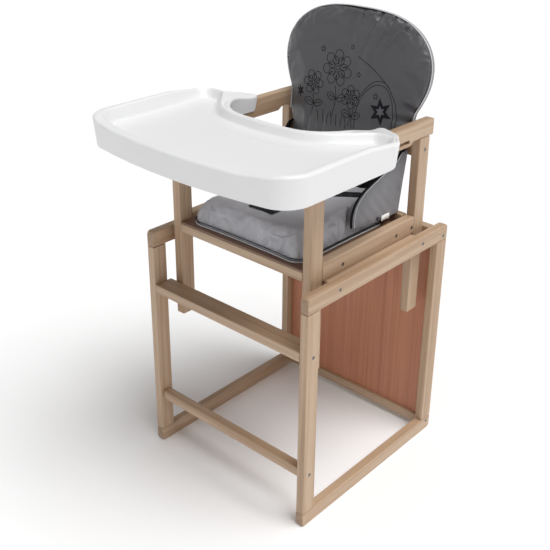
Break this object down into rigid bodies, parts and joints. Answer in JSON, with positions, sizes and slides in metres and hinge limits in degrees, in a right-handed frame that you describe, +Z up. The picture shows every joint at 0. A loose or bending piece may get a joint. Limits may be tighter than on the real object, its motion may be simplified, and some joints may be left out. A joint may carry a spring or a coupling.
{
  "type": "baby high chair",
  "caption": "Wooden high chair: a small armchair with a padded seat, back and harness stands in a frame base with a table panel, under a sliding plastic tray.",
  "frame": {"origin": "on the floor, at the centre of the whole object's footprint", "axes": "+Z up; the child faces -Y, so the tray is at -Y and the table panel at +Y; +X is to the right as seen from the front"},
  "size_m": [0.56, 0.629, 1.0253],
  "materials": {
    "beech": "pale, clear satin lacquer",
    "veneer": "reddish-brown veneered board, satin",
    "tray_white": "smooth white",
    "seat_fabric": "smooth grey coated cloth",
    "back_fabric": "smooth charcoal coated cloth",
    "webbing": "black woven webbing",
    "buckle_black": "black moulded",
    "steel": "zinc plated bolt heads"
  },
  "bodies": {
    "base": {"footrest_plank": "beech", "left_batten": "beech", "left_batten_bolt_front": "steel", "left_batten_bolt_rear": "steel", "left_footrest_bolt": "steel", "left_front_post": "beech", "left_lower_crossbar_bolt": "steel", "left_panel_rail_bolt": "steel", "left_rear_bottom_bolt": "steel", "left_rear_post": "beech", "left_skid": "beech", "left_top_rail": "beech", "lower_crossbar": "beech", "panel_top_rail": "beech", "rear_bottom_rail": "beech", "rear_top_rail": "beech", "right_batten": "beech", "right_batten_bolt_front": "steel", "right_batten_bolt_rear": "steel", "right_footrest_bolt": "steel", "right_front_post": "beech", "right_lower_crossbar_bolt": "steel", "right_panel_rail_bolt": "steel", "right_rear_bottom_bolt": "steel", "right_rear_post": "beech", "right_skid": "beech", "right_top_rail": "beech", "table_panel": "veneer"},
    "chair": {"back_cushion": "back_fabric", "backrest_board": "veneer", "backrest_lower_rail": "beech", "backrest_upper_rail": "beech", "crotch_strap": "webbing", "harness_buckle": "buckle_black", "left_arm": "beech", "left_backrest_bolt_lower": "steel", "left_backrest_bolt_upper": "steel", "left_front_leg": "beech", "left_rear_leg": "beech", "left_seat_bolt_front": "steel", "left_seat_bolt_rear": "steel", "left_seat_rail": "beech", "left_side_wing": "seat_fabric", "left_waist_strap": "webbing", "right_arm": "beech", "right_backrest_bolt_lower": "steel", "right_backrest_bolt_upper": "steel", "right_front_leg": "beech", "right_rear_leg": "beech", "right_seat_bolt_front": "steel", "right_seat_bolt_rear": "steel", "right_seat_rail": "beech", "right_side_wing": "seat_fabric", "right_waist_strap": "webbing", "seat_board": "veneer", "seat_cushion": "seat_fabric", "seat_front_rail": "beech", "seat_middle_rail": "beech", "seat_rear_rail": "beech"},
    "tray": {"tray": "tray_white"}
  },
  "joints": [
    {"name": "chair_lift", "type": "slide", "parent": "base", "child": "chair", "axis": [0, 0, 1], "range_m": [0, 0.25]},
    {"name": "tray_slide", "type": "slide", "parent": "chair", "child": "tray", "axis": [0, -1, 0], "range_m": [-0.08, 0.3]}
  ]
}
